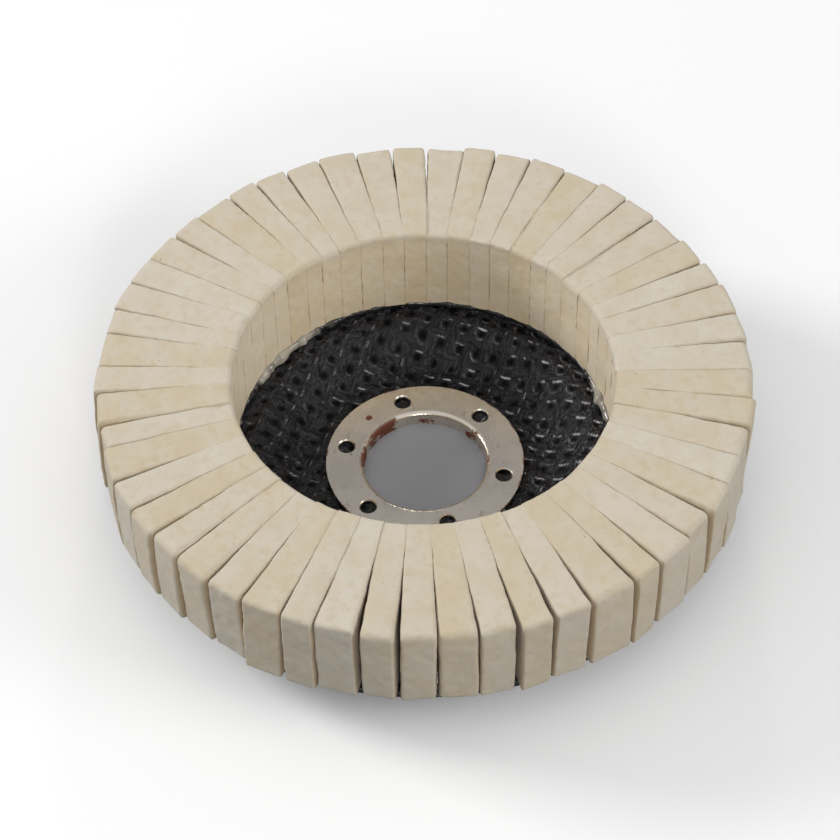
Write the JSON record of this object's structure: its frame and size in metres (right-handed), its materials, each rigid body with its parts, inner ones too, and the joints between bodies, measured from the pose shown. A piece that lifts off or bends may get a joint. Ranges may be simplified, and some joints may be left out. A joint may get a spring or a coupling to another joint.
{
  "type": "felt flap polishing wheel",
  "caption": "Depressed-centre backing plate with a ring of upright felt flaps around an open well, for polishing on an angle grinder.",
  "frame": {"origin": "centre of the arbor bore, on the plane of the hub's rear face", "axes": "+Z along the bore axis, from the grinder towards the working face of the felt; +X and +Y lie in the hub's rear face"},
  "size_m": [0.1148, 0.1142, 0.0268],
  "materials": {
    "wool_felt": "matte",
    "plated_steel": "satin",
    "glass_cloth": "gloss",
    "core_resin": "matte",
    "bedding_resin": "gloss"
  },
  "bodies": {
    "root": {"arbor_ring": "plated_steel", "front_glass_cloth": "glass_cloth", "core_ply": "core_resin", "rear_glass_cloth": "glass_cloth", "resin_bed": "bedding_resin", "felt_flap_01": "wool_felt", "felt_flap_02": "wool_felt", "felt_flap_03": "wool_felt", "felt_flap_04": "wool_felt", "felt_flap_05": "wool_felt", "felt_flap_06": "wool_felt", "felt_flap_07": "wool_felt", "felt_flap_08": "wool_felt", "felt_flap_09": "wool_felt", "felt_flap_10": "wool_felt", "felt_flap_11": "wool_felt", "felt_flap_12": "wool_felt", "felt_flap_13": "wool_felt", "felt_flap_14": "wool_felt", "felt_flap_15": "wool_felt", "felt_flap_16": "wool_felt", "felt_flap_17": "wool_felt", "felt_flap_18": "wool_felt", "felt_flap_19": "wool_felt", "felt_flap_20": "wool_felt", "felt_flap_21": "wool_felt", "felt_flap_22": "wool_felt", "felt_flap_23": "wool_felt", "felt_flap_24": "wool_felt", "felt_flap_25": "wool_felt", "felt_flap_26": "wool_felt", "felt_flap_27": "wool_felt", "felt_flap_28": "wool_felt", "felt_flap_29": "wool_felt", "felt_flap_30": "wool_felt", "felt_flap_31": "wool_felt", "felt_flap_32": "wool_felt", "felt_flap_33": "wool_felt", "felt_flap_34": "wool_felt", "felt_flap_35": "wool_felt", "felt_flap_36": "wool_felt", "felt_flap_37": "wool_felt", "felt_flap_38": "wool_felt", "felt_flap_39": "wool_felt", "felt_flap_40": "wool_felt", "felt_flap_41": "wool_felt", "felt_flap_42": "wool_felt", "felt_flap_43": "wool_felt", "felt_flap_44": "wool_felt", "felt_flap_45": "wool_felt", "felt_flap_46": "wool_felt", "felt_flap_47": "wool_felt", "felt_flap_48": "wool_felt", "felt_flap_49": "wool_felt", "felt_flap_50": "wool_felt", "felt_flap_51": "wool_felt", "felt_flap_52": "wool_felt", "felt_flap_53": "wool_felt"}
  },
  "joints": []
}
